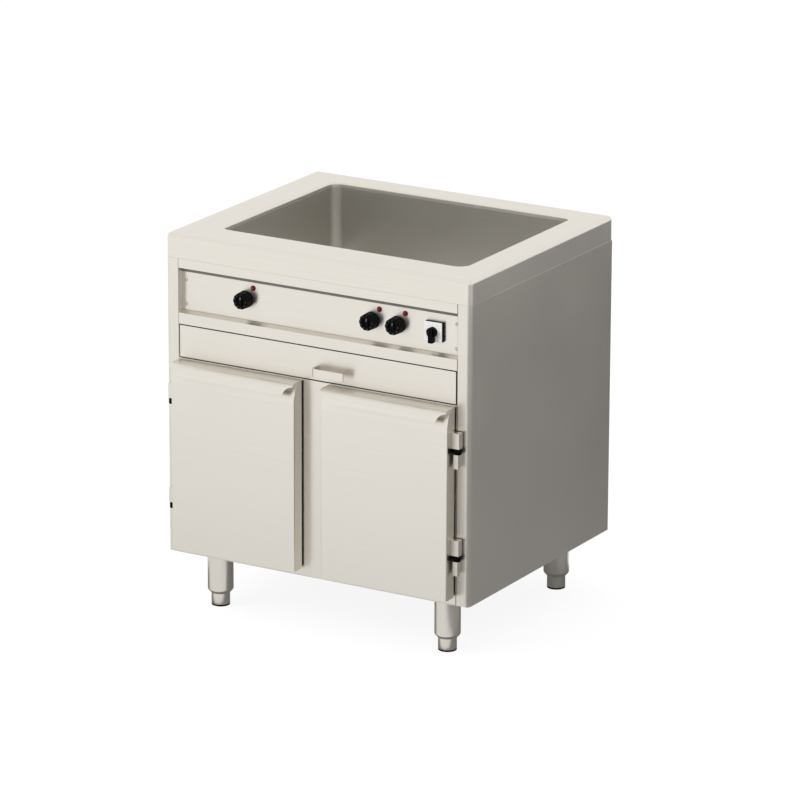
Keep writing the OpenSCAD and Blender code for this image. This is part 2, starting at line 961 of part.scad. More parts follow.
// Angle ledges on the liner's side walls that carry the shelf
module shelf_supports()
  placed() color(inner_steel)
    both_sides()
      translate([0, shelf_back, 0])
        rotate([90, 0, 0])
          linear_extrude(shelf_back - shelf_front) {
            translate([liner_x - ledge_t, shelf_z - ledge_w])
              square([ledge_t, ledge_w]);
            translate([liner_x - ledge_w + shelf_side, shelf_z - ledge_t])
              square([ledge_w - shelf_side - ledge_t, ledge_t]);
          }

// Two hairpin elements that come in through the back wall of the liner
module cupboard_heaters()
  placed() color(inner_steel)
    for (side = [-1, 1])
      translate([side * liner_x / 2, 0, element_z]) {
        for (leg = [-1, 1])
          rod_y(leg * element_pitch / 2, 0, element_front, liner_back + element_tail, element_r);
        translate([0, element_front, 0])
          rotate(180)
            rotate_extrude(angle = 180)
              translate([element_pitch / 2, 0])
                circle(element_r);
      }

// Slotted cover over the elements, folded down to the floor on three sides
module heater_cover()
  placed() color(inner_steel) {
    cover_x = liner_x - shelf_side;
    cover_front = frame_return + shelf_inset;
    cover_back = liner_back - shelf_inset;
    cover_top = liner_low + cover_h;
    translate([0, (cover_front + cover_back) / 2, cover_top - shelf_sheet])
      linear_extrude(shelf_sheet)
        difference() {
          square([2 * cover_x, cover_back - cover_front], center = true);
          slots(slot_rows.x, slot_rows.y, 2 * cover_x, cover_back - cover_front, slot_l, slot_w);
        }
    both_sides()
      block(
        [cover_x - shelf_sheet, cover_front, liner_low],
        [cover_x, cover_back, cover_top - shelf_sheet]
      );
    block(
      [-cover_x, cover_front, liner_low],
      [cover_x, cover_front + shelf_sheet, cover_top - shelf_sheet]
    );
  }

// Deep channels on the side panels in which the drawer's rails run
module drawer_runners()
  placed() color(inner_steel)
    both_sides() {
      low = rail_z - near_gap;
      high = rail_z + rail_h + near_gap;
      inner = box_x + near_gap;
      block([side_in - sheet, post_return + near_gap, low], [side_in, runner_back, high]);
      for (z = [low - sheet, high])
        block([inner, post_return + near_gap, z], [side_in, runner_back, z + sheet]);
    }

module drawer_front()
  placed() color(steel)
    difference() {
      wide = post_x - drawer_gap;
      low = drawer_low + drawer_gap;
      high = drawer_top - drawer_gap;
      block([-wide, 0, low], [wide, front_deep, high]);
      block([-wide + sheet, sheet, low + sheet], [wide - sheet, 2 * front_deep, high - sheet]);
    }

// Open tray with a hollow rail on each side
module drawer_box()
  placed() color(inner_steel) {
    box_back = front_deep + drawer_depth;
    difference() {
      block([-box_x, front_deep, box_low], [box_x, box_back, box_top]);
      block(
        [-box_x + box_sheet, front_deep + box_sheet, box_low + box_sheet],
        [box_x - box_sheet, box_back - box_sheet, 2 * box_top]
      );
    }
    both_sides()
      difference() {
        block([box_x, rail_y, rail_z], [box_x + rail_out, box_back, rail_z + rail_h]);
        block(
          [box_x + sheet, 0, rail_z + sheet],
          [box_x + rail_out - sheet, 2 * box_back, rail_z + rail_h - sheet]
        );
      }
  }

// Flat bar whose left end is rolled back to the drawer, with a foot set in from its right end
module drawer_handle()
  placed() color(steel)
    translate([0, 0, handle_z]) {
      linear_extrude(handle_h) {
        translate([handle_x, -handle_out])
          square([handle_w, handle_t]);
        translate([handle_x, -handle_out + handle_bend])
          rotate(180)
            quarter(handle_bend, handle_bend - handle_t);
        translate([handle_x - handle_bend, -handle_out + handle_bend])
          square([handle_t, handle_out - handle_bend]);
      }
      translate([handle_x + handle_w - handle_leg_in, -handle_out + handle_t, (handle_h - handle_leg_h) / 2])
        cube([handle_t, handle_out - handle_t, handle_leg_h]);
    }

// Side outline of a door in (y, z): upright front whose top rolls back, grown inwards by a wall
module door_outline(wall, back)
  intersection() {
    big = (pow(roll_h, 2) + pow(roll_d, 2)) / (2 * roll_d);
    translate([door_front + wall, wall])
      square([back - door_front - wall, door_h - 2 * wall]);
    union() {
      translate([door_front + wall, 0])
        square([back - door_front, door_h - roll_h]);
      intersection() {
        translate([door_front + big, door_h - roll_h])
          circle(big - wall);
        translate([door_front, door_h - roll_h])
          square([back - door_front, roll_h]);
      }
    }
  }

// Outer skin of a door: pressed front with side, top and bottom walls
module door_skin()
  color(steel)
    translate([door_mid_x, 0, door_foot])
      difference() {
        intersection() {
          run_x(door_w)
            door_outline(0, door_back);
          translate([0, door_back, 0])
            linear_extrude(door_h) {
              translate([-door_w / 2, -door_t + door_round])
                square([door_w, door_t - door_round]);
              translate([-door_w / 2 + door_round, -door_t])
                square([door_w - 2 * door_round, door_round]);
              for (side = [0, 1])
                mirror([side, 0])
                  translate([door_w / 2 - door_round, -door_t + door_round])
                    rotate(270)
                      quarter(door_round);
            }
        }
        run_x(door_w - 2 * door_sheet)
          door_outline(door_sheet, 0);
      }

// Hood-like pull lip along the top of a door, with a round notch at each end of its free edge
module door_lip()
  color(steel)
    translate([door_mid_x, 0, door_top])
      difference() {
        run_x(door_w) {
          translate([door_back - lip_flat, 0])
            square([lip_flat + seal_t - lip_clear, lip_sheet]);
          translate([door_back - lip_flat, lip_sheet - lip_r])
            rotate(90)
              quarter(lip_r, lip_r - lip_sheet);
          translate([lip_front, lip_sheet - lip_r - lip_edge])
            square([lip_sheet, lip_edge]);
        }
        for (side = [-1, 1])
          rod_y(side * door_w / 2, lip_sheet - lip_r - lip_edge, 2 * lip_front, 0, lip_notch);
      }

// Inner pan that closes the back of a door
module door_pan()
  color(inner_steel)
    block(
      [door_in_x + door_sheet, door_back - door_sheet, door_foot + door_sheet],
      [door_out_x - door_sheet, door_back, door_top - door_sheet]
    );

// Insulation between the skin and the pan
module door_core()
  color(wool)
    translate([door_mid_x, 0, door_foot])
      run_x(door_w - 2 * door_sheet)
        door_outline(door_sheet, door_back - door_sheet);

// Seal round the back of a door, which meets the face frame
module door_seal()
  color(rubber)
    difference() {
      edge = door_lap - seal_w - seal_in;
      block(
        [door_in_x + edge, door_back, door_foot + edge],
        [door_out_x - edge, -near_gap, door_top - edge]
      );
      block(
        [door_in_x + edge + seal_w, 2 * door_back, door_foot + edge + seal_w],
        [door_out_x - edge - seal_w, sheet, door_top - edge - seal_w]
      );
    }

// Upper hinge leaves of a door: block with the pin's bore and a tongue on the door's side
module door_leaves()
  color(steel)
    for (level = hinge_levels)
      translate([hinge_x, hinge_y, level + hinge_ring_h / 2 + near_gap])
        difference() {
          union() {
            block([-hinge_w / 2, -hinge_d / 2, 0], [hinge_w / 2, hinge_d / 2, hinge_top_h]);
            block(
              [door_out_x - hinge_x, -hinge_d / 2, 0],
              [-hinge_w / 2, door_back - hinge_y, hinge_top_h]
            );
          }
          translate([0, 0, -hinge_top_h])
            cylinder(h = hinge_top_h + pin_in_leaf + near_gap, r = pin_r + run_play);
        }

// Lower hinge leaves on the posts, each with its pin
module hinge_frame_leaves()
  placed() color(steel)
    both_sides()
      for (level = hinge_levels)
        translate([hinge_x, 0, level - hinge_ring_h / 2]) {
          rotate([90, 0, 90])
            translate([0, 0, -hinge_low_w / 2])
              linear_extrude(hinge_low_w)
                polygon([
                  [hinge_y - hinge_d / 2, 0],
                  [0, 0],
                  [0, -hinge_low_h + leaf_round],
                  [hinge_y + hinge_d / 2 - leaf_round, -hinge_low_h],
                  [hinge_y - hinge_d / 2, -hinge_low_h]
                ]);
          translate([0, hinge_y, 0])
            cylinder(h = hinge_ring_h + pin_in_leaf, r = pin_r);
        }

// Black washers on the hinge pins, which carry the doors
module hinge_washers()
  placed() color(black)
    both_sides()
      for (level = hinge_levels)
        translate([hinge_x, hinge_y, level - hinge_ring_h / 2])
          difference() {
            cylinder(h = hinge_ring_h, r = hinge_ring_r);
            translate([0, 0, -hinge_ring_h])
              cylinder(h = 3 * hinge_ring_h, r = pin_r + run_play);
          }

module right_door_skin() placed() door_skin();
module right_door_lip() placed() door_lip();
module right_door_pan() placed() door_pan();
module right_door_core() placed() door_core();
module right_door_seal() placed() door_seal();
module right_door_hinges() placed() door_leaves();
module left_door_skin() placed() mirror([1, 0, 0]) door_skin();
module left_door_lip() placed() mirror([1, 0, 0]) door_lip();
module left_door_pan() placed() mirror([1, 0, 0]) door_pan();
module left_door_core() placed() mirror([1, 0, 0]) door_core();
module left_door_seal() placed() mirror([1, 0, 0]) door_seal();
module left_door_hinges() placed() mirror([1, 0, 0]) door_leaves();

// Upper leg tubes: plate under the base, necked end, nut plate welded inside
module leg_tubes()
  placed() color(steel)
    for (place = leg_places)
      translate([place.x, place.y, 0])
        difference() {
          union() {
            translate([-leg_plate / 2, -leg_plate / 2, -leg_plate_t])
              cube([leg_plate, leg_plate, leg_plate_t]);
            difference() {
              union() {
                translate([0, 0, neck_top])
                  cylinder(h = -leg_plate_t - neck_top, r = leg_r);
                translate([0, 0, neck_low])
                  cylinder(h = neck_h, r1 = foot_r + foot_play + neck_wall, r2 = leg_r);
              }
              translate([0, 0, neck_top])
                cylinder(h = -leg_plate_t - neck_top, r = leg_r - leg_wall);
              translate([0, 0, neck_low])
                cylinder(h = neck_h, r1 = foot_r + foot_play, r2 = leg_r - leg_wall);
            }
            translate([0, 0, foot_top + near_gap])
              cylinder(h = nut_plate_t, r = leg_r - leg_wall);
          }
          translate([0, 0, -leg_h])
            cylinder(h = leg_h - leg_plate_t, r = stem_r + run_play);
        }

// Foot: hollow sleeve, floor and threaded stem
module foot(place)
  placed() color(steel)
    translate([place.x, place.y, 0]) {
      foot_low = -leg_h + pad_h;
      difference() {
        translate([0, 0, foot_low])
          cylinder(h = foot_top - foot_low, r = foot_r);
        translate([0, 0, foot_low + foot_floor_t])
          cylinder(h = foot_top - foot_low, r = foot_r - foot_wall);
      }
      translate([0, 0, foot_low])
        cylinder(h = stem_top - foot_low, r = stem_r);
    }

module pad(place)
  placed() color(black)
    translate([place.x, place.y, -leg_h])
      cylinder(h = pad_h, r = foot_r);

module front_left_foot() foot(leg_places[0]);
module front_right_foot() foot(leg_places[1]);
module back_left_foot() foot(leg_places[2]);
module back_right_foot() foot(leg_places[3]);
module front_left_pad() pad(leg_places[0]);
module front_right_pad() pad(leg_places[1]);
module back_left_pad() pad(leg_places[2]);
module back_right_pad() pad(leg_places[3]);

// Cable gland through the base: nut inside, body and cap below
module cable_gland()
  placed() color(black)
    translate([gland_x, pipe_y, 0])
      difference() {
        union() {
          translate([0, 0, -gland_drop])
            cylinder(h = gland_drop - nut_h, r = gland_cap_r);
          translate([0, 0, -nut_h])
            cylinder(h = nut_h, r = gland_nut_r, $fn = 6);
          cylinder(h = sheet, r = gland_r);
          translate([0, 0, sheet])
            cylinder(h = nut_h, r = gland_nut_r, $fn = 6);
        }
        translate([0, 0, -2 * gland_drop])
          cylinder(h = 4 * gland_drop, r = gland_bore);
      }

worktop();
well_basin();
drain_flange();
drain_pipe();
well_heater();
left_side_panel();
right_side_panel();
back_panel();
base_panel();
header_rail();
control_panel();
sill_rail();
panel_screws();
pilot_lights();
thermostats();
switch_box();
switch_plate();
door_frame();
cupboard_liner();
insulation();
shelf();
shelf_supports();
cupboard_heaters();
heater_cover();
drawer_runners();
hinge_frame_leaves();
hinge_washers();
leg_tubes();
cable_gland();
left_door_skin();
left_door_lip();
left_door_pan();
left_door_core();
left_door_seal();
left_door_hinges();
right_door_skin();
right_door_lip();
right_door_pan();
right_door_core();
right_door_seal();
right_door_hinges();
drawer_front();
drawer_box();
drawer_handle();
well_knob();
well_spindle();
left_knob();
left_spindle();
right_knob();
right_spindle();
switch_lever();
front_left_foot();
front_right_foot();
back_left_foot();
back_right_foot();
front_left_pad();
front_right_pad();
back_left_pad();
back_right_pad();
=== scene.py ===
import json
import math

import bmesh
import bpy
from mathutils import Matrix, Quaternion, Vector

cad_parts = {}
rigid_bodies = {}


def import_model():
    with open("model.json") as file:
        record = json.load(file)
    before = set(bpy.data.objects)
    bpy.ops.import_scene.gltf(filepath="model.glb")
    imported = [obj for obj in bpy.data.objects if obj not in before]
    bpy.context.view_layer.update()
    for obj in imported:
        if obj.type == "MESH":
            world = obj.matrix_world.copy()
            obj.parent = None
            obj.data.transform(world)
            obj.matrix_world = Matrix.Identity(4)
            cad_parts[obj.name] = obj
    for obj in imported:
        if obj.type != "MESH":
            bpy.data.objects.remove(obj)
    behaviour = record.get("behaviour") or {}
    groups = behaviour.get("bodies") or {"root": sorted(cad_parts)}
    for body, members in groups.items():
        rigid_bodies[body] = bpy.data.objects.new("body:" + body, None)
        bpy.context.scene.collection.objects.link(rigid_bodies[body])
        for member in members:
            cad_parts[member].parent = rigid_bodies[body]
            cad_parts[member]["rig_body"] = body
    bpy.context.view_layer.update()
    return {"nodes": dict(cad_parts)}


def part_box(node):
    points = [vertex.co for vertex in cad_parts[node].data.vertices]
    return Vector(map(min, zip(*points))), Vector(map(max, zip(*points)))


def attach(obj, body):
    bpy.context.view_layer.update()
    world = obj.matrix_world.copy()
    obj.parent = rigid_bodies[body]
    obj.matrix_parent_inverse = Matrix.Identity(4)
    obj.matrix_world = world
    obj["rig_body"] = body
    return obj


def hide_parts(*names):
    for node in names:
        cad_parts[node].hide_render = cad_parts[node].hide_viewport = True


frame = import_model()

# Studio: a pale floor under an even white surround that lights the object from all round, and two soft
# lamps for its matt parts. Three flat glowing cards lie on the floor, hidden from the lens and seen only in
# the
# steel, as painted reflections of shade: grey ones beside and under the object stand in for its shadow on
# the floor, and a pale one in front fades darker towards the object as painted shade near its foot.
PHOTO_PIXELS = 800
FOCAL_PIXELS = 5390.75
SENSOR_WIDTH = 36.0
CAMERA_AZIMUTH = math.radians(30.511)
CAMERA_ELEVATION = math.radians(16.953)
CAMERA_ROLL = math.radians(0.211)
CAMERA_DISTANCE = 12.427
CAMERA_TARGET = Vector((0.02713, 0.0249, 0.4806))
CAMERA_REACH = 100.0
LAMP_TARGET = (0.0, 0.0, 0.5)
# Each lamp: name, place, side and watts
LAMPS = (
    ("key_lamp", (-2.6, -3.4, 3.2), 2.6, 120.0),
    ("top_lamp", (-0.6, 0.6, 4.0), 2.4, 20.0),
)
SURROUND_COLOR = (1.0, 1.0, 1.0, 1.0)
FLOOR_LOW = (-40.0, -40.0, 0.0)
FLOOR_HIGH = (40.0, 40.0, 0.0)
FLOOR_COLOR = (0.14, 0.14, 0.14, 1.0)
FLOOR_GLOW = 0.88
CARD_RISE = 0.0004
# Each painted-shade sheet: name, low corner, high corner, axis of its fade, and the fade's two ends and two
# glow levels
PAINTED_SHADE_CARDS = (
    ("painted_shade_right_card", (0.45, -3.4), (4.0, 5.0), (-0.72, 0.69, 0.0), (-0.5, 1.0, 0.29, 0.115)),
    ("painted_shadow_under_card", (-0.62, -0.268), (0.45, 0.45), (0.0, 1.0, 0.0), (-0.3, 0.3, 0.20, 0.14)),
    ("painted_shade_front_card", (-3.0, -2.4), (0.45, -0.268), (0.0, 1.0, 0.0), (-0.6, -1.8, 0.80, 1.0)),
)
scene = bpy.context.scene
scene.view_settings.view_transform = "Standard"


def aim(obj, place, target, roll=0.0):
    """Puts a camera or lamp at a place and points it at a target."""
    gaze = (Vector(target) - Vector(place)).to_track_quat("-Z", "Y")
    obj.location = place
    obj.rotation_euler = (gaze @ Quaternion((0.0, 0.0, 1.0), roll)).to_euler()
    scene.collection.objects.link(obj)


view_from = Vector((
    math.sin(CAMERA_AZIMUTH) * math.cos(CAMERA_ELEVATION),
    -math.cos(CAMERA_AZIMUTH) * math.cos(CAMERA_ELEVATION),
    math.sin(CAMERA_ELEVATION),
))
lens = bpy.data.cameras.new("photo_camera")
lens.sensor_width = SENSOR_WIDTH
lens.lens = FOCAL_PIXELS / PHOTO_PIXELS * SENSOR_WIDTH
lens.clip_end = CAMERA_REACH
camera = bpy.data.objects.new("photo_camera", lens)
aim(camera, CAMERA_TARGET + CAMERA_DISTANCE * view_from, CAMERA_TARGET, CAMERA_ROLL)
scene.camera = camera


def soft_lamp(name, place, side, watts):
    """A square area lamp that looks at the middle of the object, and that metal doesn't mirror."""
    light = bpy.data.lights.new(name, "AREA")
    light.size = side
    light.energy = watts
    lamp = bpy.data.objects.new(name, light)
    lamp.visible_glossy = False
    aim(lamp, Vector(place), LAMP_TARGET)


for studio_lamp in LAMPS:
    soft_lamp(*studio_lamp)

world = bpy.data.worlds.new("studio")
scene.world = world
world.use_nodes = True
world.node_tree.nodes["Background"].inputs["Color"].default_value = SURROUND_COLOR


def new_material(name):
    """A new material, with its nodes, its links and the shader that it starts with."""
    mat = bpy.data.materials.new(name)
    mat.use_nodes = True
    nodes = mat.node_tree.nodes
    return mat, nodes, mat.node_tree.links, nodes["Principled BSDF"]


def laid(name, low, high, mat):
    """A flat studio sheet between two corners."""
    bm = bmesh.new()
    bmesh.ops.create_grid(bm, x_segments=1, y_segments=1, size=0.5)
    bmesh.ops.scale(bm, vec=Vector(high) - Vector(low), verts=bm.verts)
    bmesh.ops.translate(bm, vec=(Vector(low) + Vector(high)) / 2.0, verts=bm.verts)
    mesh = bpy.data.meshes.new(name)
    bm.to_mesh(mesh)
    bm.free()
    mesh.materials.append(mat)
    sheet = bpy.data.objects.new(name, mesh)
    scene.collection.objects.link(sheet)
    return sheet


floor_paint, paint, paint_links, first_shader = new_material("pale_floor")
paint.remove(first_shader)
matt = paint.new("ShaderNodeBsdfDiffuse")
matt.inputs["Color"].default_value = FLOOR_COLOR
path = paint.new("ShaderNodeLightPath")
seen = path.outputs["Is Camera Ray"]
for kind in ("Is Glossy Ray", "Is Transmission Ray"):
    either = paint.new("ShaderNodeMath")
    either.operation = "MAXIMUM"
    paint_links.new(seen, either.inputs[0])
    paint_links.new(path.outputs[kind], either.inputs[1])
    seen = either.outputs["Value"]
glow_level = paint.new("ShaderNodeMath")
glow_level.operation = "MULTIPLY"
glow_level.inputs[1].default_value = FLOOR_GLOW
paint_glow = paint.new("ShaderNodeEmission")
paint_sum = paint.new("ShaderNodeAddShader")
paint_links.new(seen, glow_level.inputs[0])
paint_links.new(glow_level.outputs["Value"], paint_glow.inputs["Strength"])
paint_links.new(matt.outputs["BSDF"], paint_sum.inputs[0])
paint_links.new(paint_glow.outputs["Emission"], paint_sum.inputs[1])
paint_links.new(paint_sum.outputs["Shader"], paint["Material Output"].inputs["Surface"])
laid("studio_floor", FLOOR_LOW, FLOOR_HIGH, floor_paint)


def painted_shade_card(name, low, high, axis, fade):
    """A flat glowing sheet whose level changes along an axis, seen only in the steel that mirrors it:
    painted shade in its reflections.
    """
    mat, nodes, links, shader = new_material(name)
    nodes.remove(shader)
    along = nodes.new("ShaderNodeVectorMath")
    along.operation = "DOT_PRODUCT"
    along.inputs[1].default_value = axis
    grey = nodes.new("ShaderNodeMapRange")
    for socket, number in zip(("From Min", "From Max", "To Min", "To Max"), fade):
        grey.inputs[socket].default_value = number
    glow = nodes.new("ShaderNodeEmission")
    links.new(nodes.new("ShaderNodeTexCoord").outputs["Object"], along.inputs[0])
    links.new(along.outputs["Value"], grey.inputs["Value"])
    links.new(grey.outputs["Result"], glow.inputs["Strength"])
    links.new(glow.outputs["Emission"], nodes["Material Output"].inputs["Surface"])
    sheet = laid(name, (*low, CARD_RISE), (*high, CARD_RISE), mat)
    sheet.visible_camera = False
    sheet.visible_diffuse = False
    sheet.visible_transmission = False
    sheet.visible_shadow = False


# These glowing cards paint shade and shadow into what the steel mirrors.
for painted_shade_entry in PAINTED_SHADE_CARDS:
    painted_shade_card(*painted_shade_entry)

# Legs: stainless tube with a spun-in neck, welded to a square plate that four bolts hold under the base.
# A nut block welded inside each tube takes the foot's threaded stem.
CORNERS = ("front_left", "front_right", "back_left", "back_right")
SHEET_TONE = (0.78, 0.741, 0.674)
TUBE_ROUGHNESS = 0.3
NOISE_LOW = 0.3
NOISE_HIGH = 0.7
GRAIN_LONG = 4.0
GRAIN_FINE = 900.0
GRAIN_DETAIL = 2.0
GRAIN_TINT = 0.05
GRAIN_BUMP = 0.06
GRAIN_DEEP = 0.0002
GRAIN_DRAW = 0.7
HAZE_SCALE = 5.0
HAZE_DETAIL = 4.0
HAZE_SPREAD = 0.02
SEAM_MERGE = 0.000005
SMOOTH_ANGLE = math.radians(30.0)
TUBE_RADIUS = 0.030
TUBE_WALL = 0.0015
NECK_HEIGHT = 0.008
NECK_ROUND = 0.0025
NECK_PLAY = 0.0004
NECK_WALL = 0.001
NUT_RISE = 0.0424
STEM_BORE = 0.0081
PLATE_SIDE = 0.086
PLATE_THICK = 0.003
PLATE_EASE = 0.0006
BOLT_TONE = (0.6, 0.58, 0.55)
BOLT_ROUGHNESS = 0.32
BOLT_IN = 0.032
BOLT_SIDES = 6
BOLT_RADIUS = 0.0058
BOLT_HIGH = 0.004
BOLT_EASE = 0.0005


def noise(nodes, links, vector, detail, scale=1.0):
    """A noise pattern on the given coordinates."""
    pattern = nodes.new("ShaderNodeTexNoise")
    pattern.inputs["Scale"].default_value = scale
    pattern.inputs["Detail"].default_value = detail
    links.new(vector, pattern.inputs["Vector"])
    return pattern.outputs["Fac"]


def tinted(nodes, links, share, tone, spread):
    """A colour that runs from a little darker to a little lighter than the tone."""
    tint = nodes.new("ShaderNodeMix")
    tint.data_type = "RGBA"
    tint.inputs["A"].default_value = [(1.0 - spread) * c for c in tone] + [1.0]
    tint.inputs["B"].default_value = [(1.0 + spread) * c for c in tone] + [1.0]
    links.new(share, tint.inputs["Factor"])
    return tint.outputs["Result"]


def between(nodes, links, value, middle, spread):
    """A number near the middle that follows a noise pattern."""
    ranged = nodes.new("ShaderNodeMapRange")
    ranged.inputs["From Min"].default_value = NOISE_LOW
    ranged.inputs["From Max"].default_value = NOISE_HIGH
    ranged.inputs["To Min"].default_value = middle - spread
    ranged.inputs["To Max"].default_value = middle + spread
    links.new(value, ranged.inputs["Value"])
    return ranged.outputs["Result"]


def bumped(nodes, links, height, strength, distance, shader):
    """Raises the shader's surface by a height pattern."""
    bump = nodes.new("ShaderNodeBump")
    bump.inputs["Strength"].default_value = strength
    bump.inputs["Distance"].default_value = distance
    links.new(height, bump.inputs["Height"])
    links.new(bump.outputs["Normal"], shader.inputs["Normal"])


def steel(name, along, tone, roughness, tint=GRAIN_TINT, spread=None):
    """Stainless steel brushed along an axis: fine streaks and a broad haze in the gloss.

    Where a spread is given, the gloss is drawn out in that direction, across the grain.
    """
    mat, nodes, links, shader = new_material(name)
    shader.inputs["Metallic"].default_value = 1.0
    coords = nodes.new("ShaderNodeTexCoord").outputs["Object"]
    stretch = nodes.new("ShaderNodeMapping")
    stretch.inputs["Scale"].default_value = [GRAIN_LONG if axis == along else GRAIN_FINE for axis in "XYZ"]
    links.new(coords, stretch.inputs["Vector"])
    streaks = noise(nodes, links, stretch.outputs["Vector"], GRAIN_DETAIL)
    haze = noise(nodes, links, coords, HAZE_DETAIL, HAZE_SCALE)
    links.new(tinted(nodes, links, streaks, tone, tint), shader.inputs["Base Color"])
    links.new(between(nodes, links, haze, roughness, HAZE_SPREAD), shader.inputs["Roughness"])
    bumped(nodes, links, streaks, GRAIN_BUMP, GRAIN_DEEP, shader)
    if spread:
        across = nodes.new("ShaderNodeVectorTransform")
        across.vector_type = "VECTOR"
        across.convert_from = "OBJECT"
        across.convert_to = "WORLD"
        across.inputs["Vector"].default_value = spread
        links.new(across.outputs["Vector"], shader.inputs["Tangent"])
        shader.inputs["Anisotropic"].default_value = GRAIN_DRAW
    return mat


def softened(corners, steps=5):
    """A profile from corners of (radius, height, ease), each corner rounded off by its own ease."""
    points = []
    for index, (radius, height, ease) in enumerate(corners):
        here = Vector((radius, height))
        if not ease:
            points.append(here)
            continue
        start = here + ease * (Vector(corners[index - 1][:2]) - here).normalized()
        end = here + ease * (Vector(corners[index + 1][:2]) - here).normalized()
        for step in range(steps + 1):
            share = step / steps
            points.append(start.lerp(here, share).lerp(here.lerp(end, share), share))
    return points


def turned(profile, place=Matrix.Identity(4), steps=64):
    """A solid of revolution: a profile of (radius, height) spun about z, then placed."""
    shape = bmesh.new()
    points = [shape.verts.new((radius, 0.0, height)) for radius, height in profile]
    rim = [shape.edges.new(pair) for pair in zip(points, points[1:])]
    bmesh.ops.spin(
        shape, geom=points + rim, cent=(0.0, 0.0, 0.0), axis=(0.0, 0.0, 1.0),
        angle=2.0 * math.pi, steps=steps, use_merge=True,
    )
    bmesh.ops.remove_doubles(shape, verts=shape.verts, dist=SEAM_MERGE)
    bmesh.ops.recalc_face_normals(shape, faces=shape.faces)
    bmesh.ops.transform(shape, matrix=place, verts=shape.verts)
    return shape


def bevel(shape, edges, ease, segments):
    """Rounds the given edges of a mesh."""
    bmesh.ops.bevel(
        shape, geom=edges, offset=ease, offset_type="OFFSET", affect="EDGES",
        segments=segments, profile=0.5, material=-1, clamp_overlap=True,
    )


def slab(low, high, ease, segments=3):
    """A block between two corners with every edge rounded."""
    shape = bmesh.new()
    bmesh.ops.create_cube(shape, size=1.0)
    bmesh.ops.scale(shape, vec=Vector(high) - Vector(low), verts=shape.verts)
    bmesh.ops.translate(shape, vec=(Vector(low) + Vector(high)) / 2.0, verts=shape.verts)
    bevel(shape, shape.edges[:], ease, segments)
    return shape


def add_shape(bm, shape):
    """Adds a finished shape to a piece's mesh."""
    carrier = bpy.data.meshes.new("carrier")
    shape.to_mesh(carrier)
    shape.free()
    bm.from_mesh(carrier)
    bpy.data.meshes.remove(carrier)


def finish_piece(name, bm, material, node, stands_for=True):
    """Makes a piece from a mesh on a CAD node's body, in that node's place or added to it."""
    mesh = bpy.data.meshes.new(name)
    bm.to_mesh(mesh)
    bm.free()
    mesh.polygons.foreach_set("use_smooth", [True] * len(mesh.polygons))
    mesh.set_sharp_from_angle(angle=SMOOTH_ANGLE)
    mesh.materials.append(material)
    piece = bpy.data.objects.new(name, mesh)
    scene.collection.objects.link(piece)
    even_normals = piece.modifiers.new("even_normals", "WEIGHTED_NORMAL")
    even_normals.keep_sharp = True
    if stands_for:
        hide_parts(node)
    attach(piece, frame["nodes"][node]["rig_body"])


tube_steel = steel("tube_brushed_upright", "Z", SHEET_TONE, TUBE_ROUGHNESS)
bolt_steel = steel("bolt_steel", "Z", BOLT_TONE, BOLT_ROUGHNESS)
tubes_low, tubes_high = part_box("leg_tubes")
plate_low = tubes_high.z - PLATE_THICK
neck_top = tubes_low.z + NECK_HEIGHT
nut_low = tubes_low.z + NUT_RISE
tubes_bm = bmesh.new()
bolts_bm = bmesh.new()
for corner in CORNERS:
    foot_low, foot_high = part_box(corner + "_foot")
    axis = (foot_low + foot_high) / 2.0
    neck_bore = (foot_high.x - foot_low.x) / 2.0 + NECK_PLAY
    tube_profile = softened([
        (0.0, plate_low - PLATE_THICK, 0.0),
        (STEM_BORE, plate_low - PLATE_THICK, 0.0),
        (STEM_BORE, nut_low, 0.0),
        (TUBE_RADIUS - TUBE_WALL, nut_low, 0.0),
        (TUBE_RADIUS - TUBE_WALL, neck_top, NECK_ROUND / 2.0),
        (neck_bore, tubes_low.z, 0.0),
        (neck_bore + NECK_WALL, tubes_low.z, NECK_WALL / 2.0),
        (TUBE_RADIUS, neck_top, NECK_ROUND),
        (TUBE_RADIUS, plate_low, 0.0),
        (0.0, plate_low, 0.0),
    ])
    add_shape(tubes_bm, turned(tube_profile, Matrix.Translation((axis.x, axis.y, 0.0))))
    half_plate = Vector((PLATE_SIDE / 2.0, PLATE_SIDE / 2.0, 0.0))
    plate_mid = Vector((axis.x, axis.y, plate_low))
    plate_top = plate_mid + half_plate + Vector((0.0, 0.0, PLATE_THICK))
    add_shape(tubes_bm, slab(plate_mid - half_plate, plate_top, PLATE_EASE))
    for side_x in (-BOLT_IN, BOLT_IN):
        for side_y in (-BOLT_IN, BOLT_IN):
            bolt = bmesh.new()
            bmesh.ops.create_cone(
                bolt, cap_ends=True, segments=BOLT_SIDES,
                radius1=BOLT_RADIUS, radius2=BOLT_RADIUS, depth=BOLT_HIGH,
            )
            bevel(bolt, bolt.edges[:], BOLT_EASE, segments=2)
            bolt_place = plate_mid + Vector((side_x, side_y, -BOLT_HIGH / 2.0))
            bmesh.ops.translate(bolt, vec=bolt_place, verts=bolt.verts)
            add_shape(bolts_bm, bolt)
finish_piece("leg_tubes_piece", tubes_bm, tube_steel, "leg_tubes")
finish_piece("leg_plate_bolts", bolts_bm, bolt_steel, "leg_tubes", stands_for=False)

# Feet: bright turned sleeves that slide in the leg tubes on a threaded stem, each with a black moulded pad
# pressed under it, so that the cabinet can be levelled.
FOOT_EASE = 0.0009
PAD_EASE = 0.0011
CUT_EASE = 0.0005
EDGE_ANGLE = math.radians(40.0)
FLAT_ANGLE = math.radians(0.5)
NODE_MERGE = 0.00001
BLACK_TONE = (0.002, 0.002, 0.002)
BLACK_ROUGHNESS = 0.45
BLACK_SHINE = 0.06
MOULD_GRAIN = 2200.0
MOULD_BUMP = 0.08
MOULD_DEEP = 0.0001
MOULD_SHINE = 0.5
MOULD_DETAIL = 3.0
MOULD_BROAD = 60.0
MOULD_TINT = 0.12
MOULD_SPREAD = 0.05


